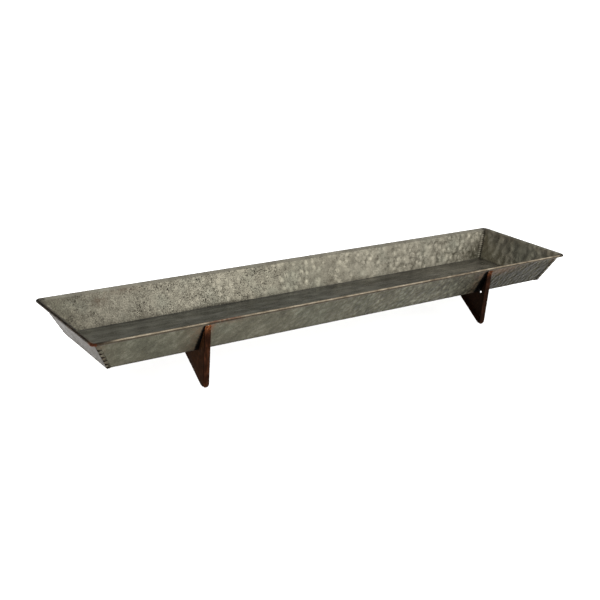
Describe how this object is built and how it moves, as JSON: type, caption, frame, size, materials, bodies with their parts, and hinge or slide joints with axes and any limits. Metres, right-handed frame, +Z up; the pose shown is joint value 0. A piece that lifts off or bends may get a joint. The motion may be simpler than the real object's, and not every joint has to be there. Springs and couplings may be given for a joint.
{
  "type": "trough feeder",
  "caption": "Long shallow galvanised sheet trough with sloping sides, a rolled wired rim and open V-shaped iron stands that hold it just off the ground for feeding poultry.",
  "frame": {"origin": "on the floor under the centre of the tray", "axes": "+X along the tray, +Y to the rear long side, +Z up"},
  "size_m": [1.016, 0.2286, 0.1185],
  "materials": {
    "galvanised_sheet": "aged hammered zinc, dull",
    "galvanised_end": "aged zinc, dull",
    "dark_wire": "darkened, rust at the joint",
    "rusty_iron": "reddish-brown rust, waxed",
    "weld": "orange rust"
  },
  "bodies": {
    "root": {"tray_body": "galvanised_sheet", "left_end_panel": "galvanised_end", "right_end_panel": "galvanised_end", "rim_wire": "dark_wire", "left_stand_strap": "rusty_iron", "left_stand_front_web": "rusty_iron", "left_stand_rear_web": "rusty_iron", "left_stand_tacks": "weld", "right_stand_strap": "rusty_iron", "right_stand_front_web": "rusty_iron", "right_stand_rear_web": "rusty_iron", "right_stand_tacks": "weld"}
  },
  "joints": []
}
